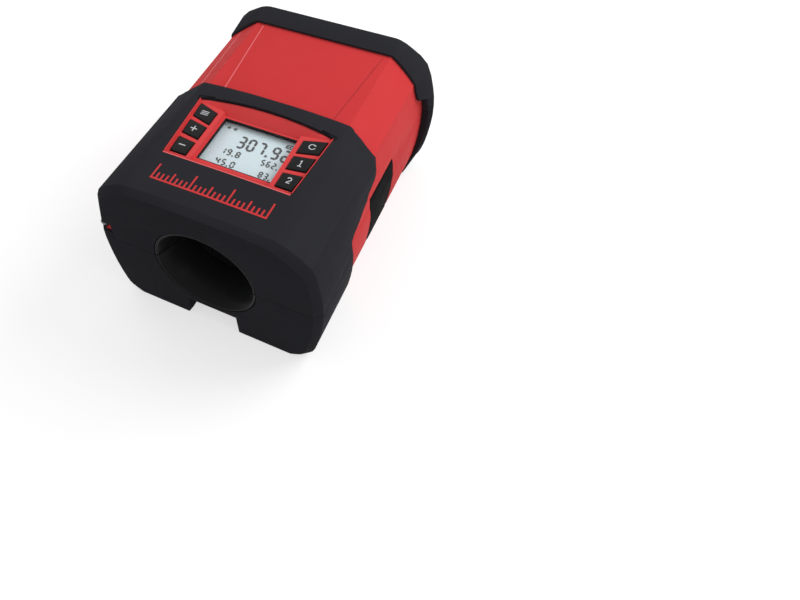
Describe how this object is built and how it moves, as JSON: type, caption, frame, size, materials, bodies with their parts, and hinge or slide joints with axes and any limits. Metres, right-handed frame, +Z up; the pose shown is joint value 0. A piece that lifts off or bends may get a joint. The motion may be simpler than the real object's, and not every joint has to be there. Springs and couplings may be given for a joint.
{
  "type": "cable length counter",
  "caption": "Hinged clamshell cable length counter with a round cable bore, sprung measuring wheel, guide rollers, sunken display, keys and a side latch.",
  "frame": {"origin": "middle of the footprint, on the plane of the soles", "axes": "+Z up, +Y from the display end along the cable bore to the rear end, +X towards the latch side"},
  "size_m": [0.1272, 0.156, 0.0902],
  "materials": {
    "red_shell": "satin moulded red plastic",
    "boot": "matt black overmoulded rubber",
    "funnel": "glossy black plastic",
    "inner_plastic": "satin black plastic",
    "latch": "satin dark grey plastic",
    "key": "smooth dark silicone keys",
    "rubber": "matt black rubber",
    "pane": "clear cover pane",
    "lcd": "pale grey liquid crystal panel",
    "board": "green circuit board",
    "wheel": "light grey acetal",
    "steel": "plain bright steel",
    "cell": "plain sleeved dry cell"
  },
  "bodies": {
    "base": {"lower_shell": "red_shell", "lower_front_boot": "boot", "lower_rear_boot": "boot", "lower_guide_insert": "inner_plastic", "lower_front_funnel": "funnel", "lower_rear_funnel": "funnel", "case_screw_1": "steel", "case_screw_2": "steel", "case_screw_3": "steel", "case_screw_4": "steel", "hinge_pin": "steel", "latch_pin": "steel", "front_left_roller_axle": "steel", "rear_left_roller_axle": "steel", "front_right_roller_axle": "steel", "rear_right_roller_axle": "steel"},
    "lid": {"upper_shell": "red_shell", "upper_guide_insert": "inner_plastic", "upper_front_boot": "boot", "upper_rear_boot": "boot", "upper_front_funnel": "funnel", "upper_rear_funnel": "funnel", "display_bezel": "red_shell", "display_pane": "pane", "lcd_panel": "lcd", "main_board": "board", "keypad_mat": "rubber", "battery_door": "inner_plastic", "battery_holder": "inner_plastic", "lower_cell": "cell", "upper_cell": "cell", "front_contact": "steel", "rear_contact": "steel", "arm_pin": "steel", "arm_spring": "steel"},
    "arm": {"swing_arm": "inner_plastic", "sensor_board": "board"},
    "wheel": {"measuring_wheel": "wheel", "wheel_tyre": "rubber", "wheel_axle": "steel", "encoder_disc": "steel"},
    "latch": {"latch_lever": "latch"},
    "roller_front_left": {"front_left_roller": "wheel"},
    "roller_rear_left": {"rear_left_roller": "wheel"},
    "roller_front_right": {"front_right_roller": "wheel"},
    "roller_rear_right": {"rear_right_roller": "wheel"},
    "key_left_rear": {"left_rear_key": "key"},
    "key_left_middle": {"left_middle_key": "key"},
    "key_left_front": {"left_front_key": "key"},
    "key_right_rear": {"right_rear_key": "key"},
    "key_right_middle": {"right_middle_key": "key"},
    "key_right_front": {"right_front_key": "key"}
  },
  "joints": [
    {"name": "lid_hinge", "type": "hinge", "parent": "base", "child": "lid", "pos_m": [-0.0594, 0, 0.053], "axis": [0, -1, 0], "range_deg": [0, 90]},
    {"name": "latch_pivot", "type": "hinge", "parent": "base", "child": "latch", "pos_m": [0.0535, 0, 0.0105], "axis": [0, 1, 0], "range_deg": [0, 20], "stiffness_Nm_per_rad": 0.05, "springref_deg": -17.19},
    {"name": "arm_pivot", "type": "hinge", "parent": "lid", "child": "arm", "pos_m": [0, 0.044, 0.073], "axis": [-1, 0, 0], "range_deg": [0, 53], "stiffness_Nm_per_rad": 0.08, "springref_deg": -57.3},
    {"name": "wheel_spin", "type": "hinge", "parent": "arm", "child": "wheel", "pos_m": [0, 0.02204, 0.04199], "axis": [1, 0, 0], "continuous": true},
    {"name": "front_left_roller_spin", "type": "hinge", "parent": "base", "child": "roller_front_left", "pos_m": [-0.01662, -0.016, 0.02838], "axis": [0.7071, 0, -0.7071], "continuous": true},
    {"name": "rear_left_roller_spin", "type": "hinge", "parent": "base", "child": "roller_rear_left", "pos_m": [-0.01662, 0.042, 0.02838], "axis": [0.7071, 0, -0.7071], "continuous": true},
    {"name": "front_right_roller_spin", "type": "hinge", "parent": "base", "child": "roller_front_right", "pos_m": [0.01662, -0.016, 0.02838], "axis": [0.7071, 0, 0.7071], "continuous": true},
    {"name": "rear_right_roller_spin", "type": "hinge", "parent": "base", "child": "roller_rear_right", "pos_m": [0.01662, 0.042, 0.02838], "axis": [0.7071, 0, 0.7071], "continuous": true},
    {"name": "left_rear_key_press", "type": "slide", "parent": "lid", "child": "key_left_rear", "axis": [0, 0, -1], "range_m": [0, 0.0011], "stiffness_N_per_m": 800, "springref_m": -0.0005},
    {"name": "left_middle_key_press", "type": "slide", "parent": "lid", "child": "key_left_middle", "axis": [0, 0, -1], "range_m": [0, 0.0011], "stiffness_N_per_m": 800, "springref_m": -0.0005},
    {"name": "left_front_key_press", "type": "slide", "parent": "lid", "child": "key_left_front", "axis": [0, 0, -1], "range_m": [0, 0.0011], "stiffness_N_per_m": 800, "springref_m": -0.0005},
    {"name": "right_rear_key_press", "type": "slide", "parent": "lid", "child": "key_right_rear", "axis": [0, 0, -1], "range_m": [0, 0.0011], "stiffness_N_per_m": 800, "springref_m": -0.0005},
    {"name": "right_middle_key_press", "type": "slide", "parent": "lid", "child": "key_right_middle", "axis": [0, 0, -1], "range_m": [0, 0.0011], "stiffness_N_per_m": 800, "springref_m": -0.0005},
    {"name": "right_front_key_press", "type": "slide", "parent": "lid", "child": "key_right_front", "axis": [0, 0, -1], "range_m": [0, 0.0011], "stiffness_N_per_m": 800, "springref_m": -0.0005}
  ]
}
